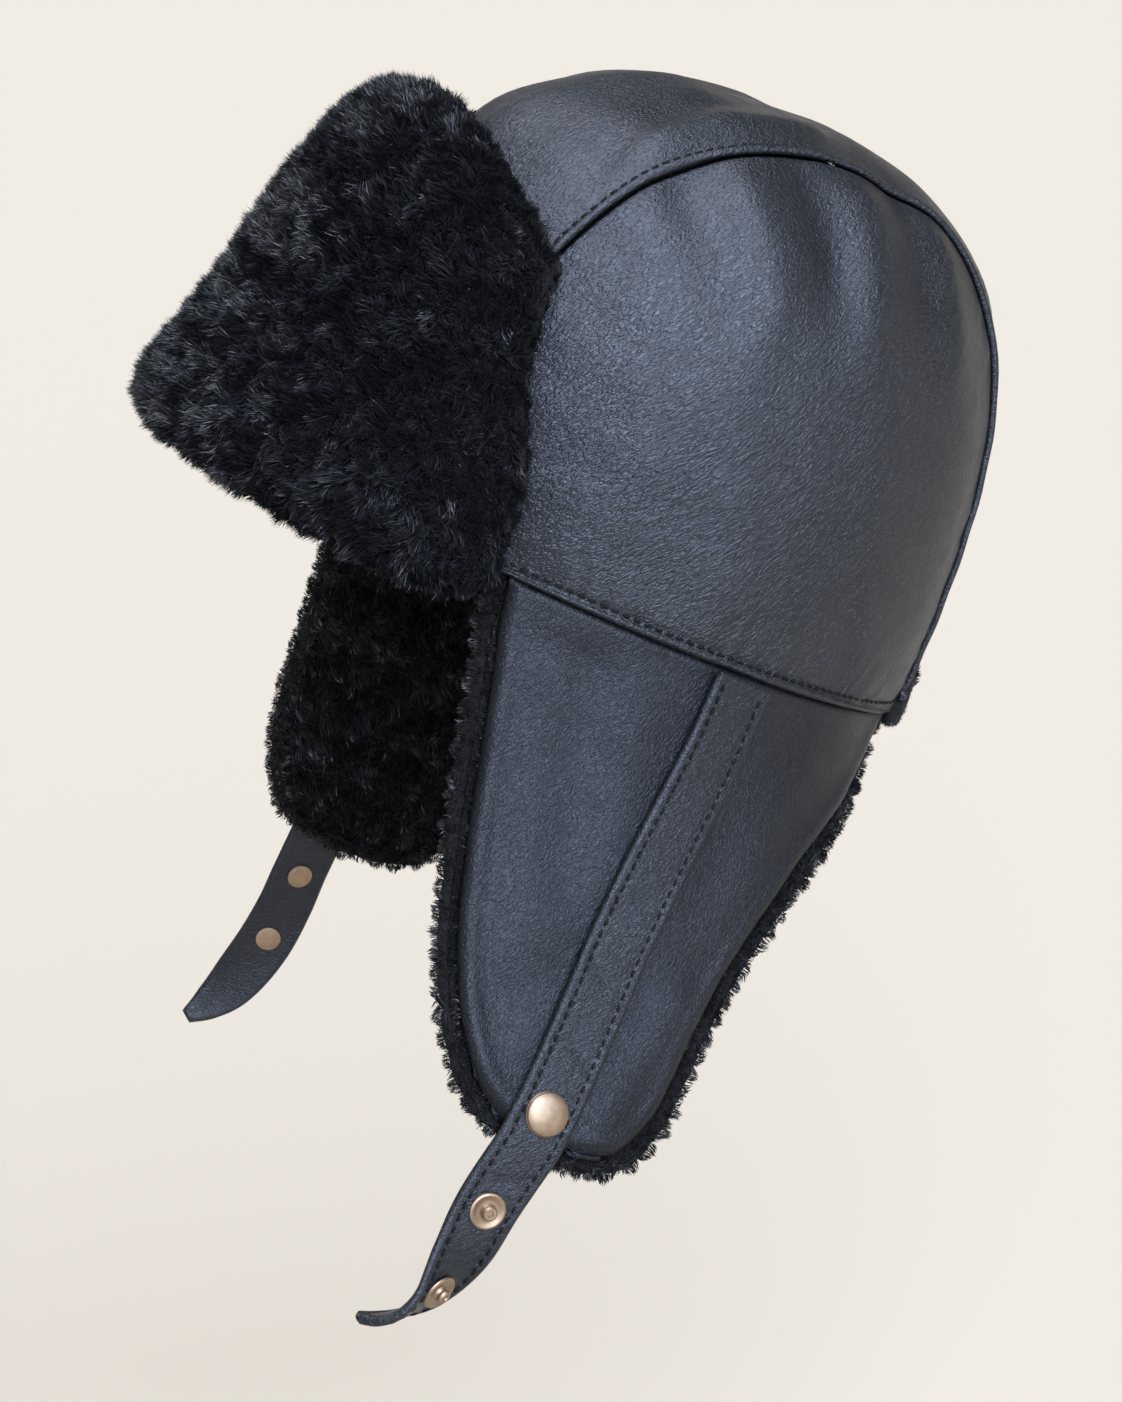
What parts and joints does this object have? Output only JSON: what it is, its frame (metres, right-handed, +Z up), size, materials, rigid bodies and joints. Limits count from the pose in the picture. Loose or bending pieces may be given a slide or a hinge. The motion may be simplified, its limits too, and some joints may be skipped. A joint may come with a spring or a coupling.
{
  "type": "sheepskin aviator hat",
  "caption": "Leather aviator hat with a hollow panelled crown, turned-up fur front flap, long fur-lined ear flaps and snap straps with free tapered ends.",
  "frame": {"origin": "centre of the head opening at the brow line, where the hat sits on a head", "axes": "+Z up as worn, -Y to the front where the wearer looks, +X to the wearer's left"},
  "size_m": [0.3206, 0.27, 0.3748],
  "materials": {
    "crown_leather": "fine-grained soft leather, low sheen",
    "flap_leather": "fine-grained soft leather, low sheen",
    "strap_leather": "fine-grained leather with creases across, low sheen",
    "fur": "dense plush pile with a cool sheen",
    "snap_metal": "satin warm nickel plate"
  },
  "bodies": {
    "root": {"crown_center_panel": "crown_leather", "crown_side_panel_left": "crown_leather", "crown_side_panel_right": "crown_leather", "crown_lining": "fur", "nape_fur_band": "fur", "front_flap_leather": "flap_leather", "front_flap_fur": "fur", "ear_flap_left": "flap_leather", "ear_flap_right": "flap_leather", "ear_flap_lining_left": "fur", "ear_flap_lining_right": "fur", "strap_left": "strap_leather", "strap_right": "strap_leather", "snap_cap_left": "snap_metal", "snap_cap_right": "snap_metal", "snap_stud_upper_left": "snap_metal", "snap_stud_upper_right": "snap_metal", "snap_stud_lower_left": "snap_metal", "snap_stud_lower_right": "snap_metal"}
  },
  "joints": []
}
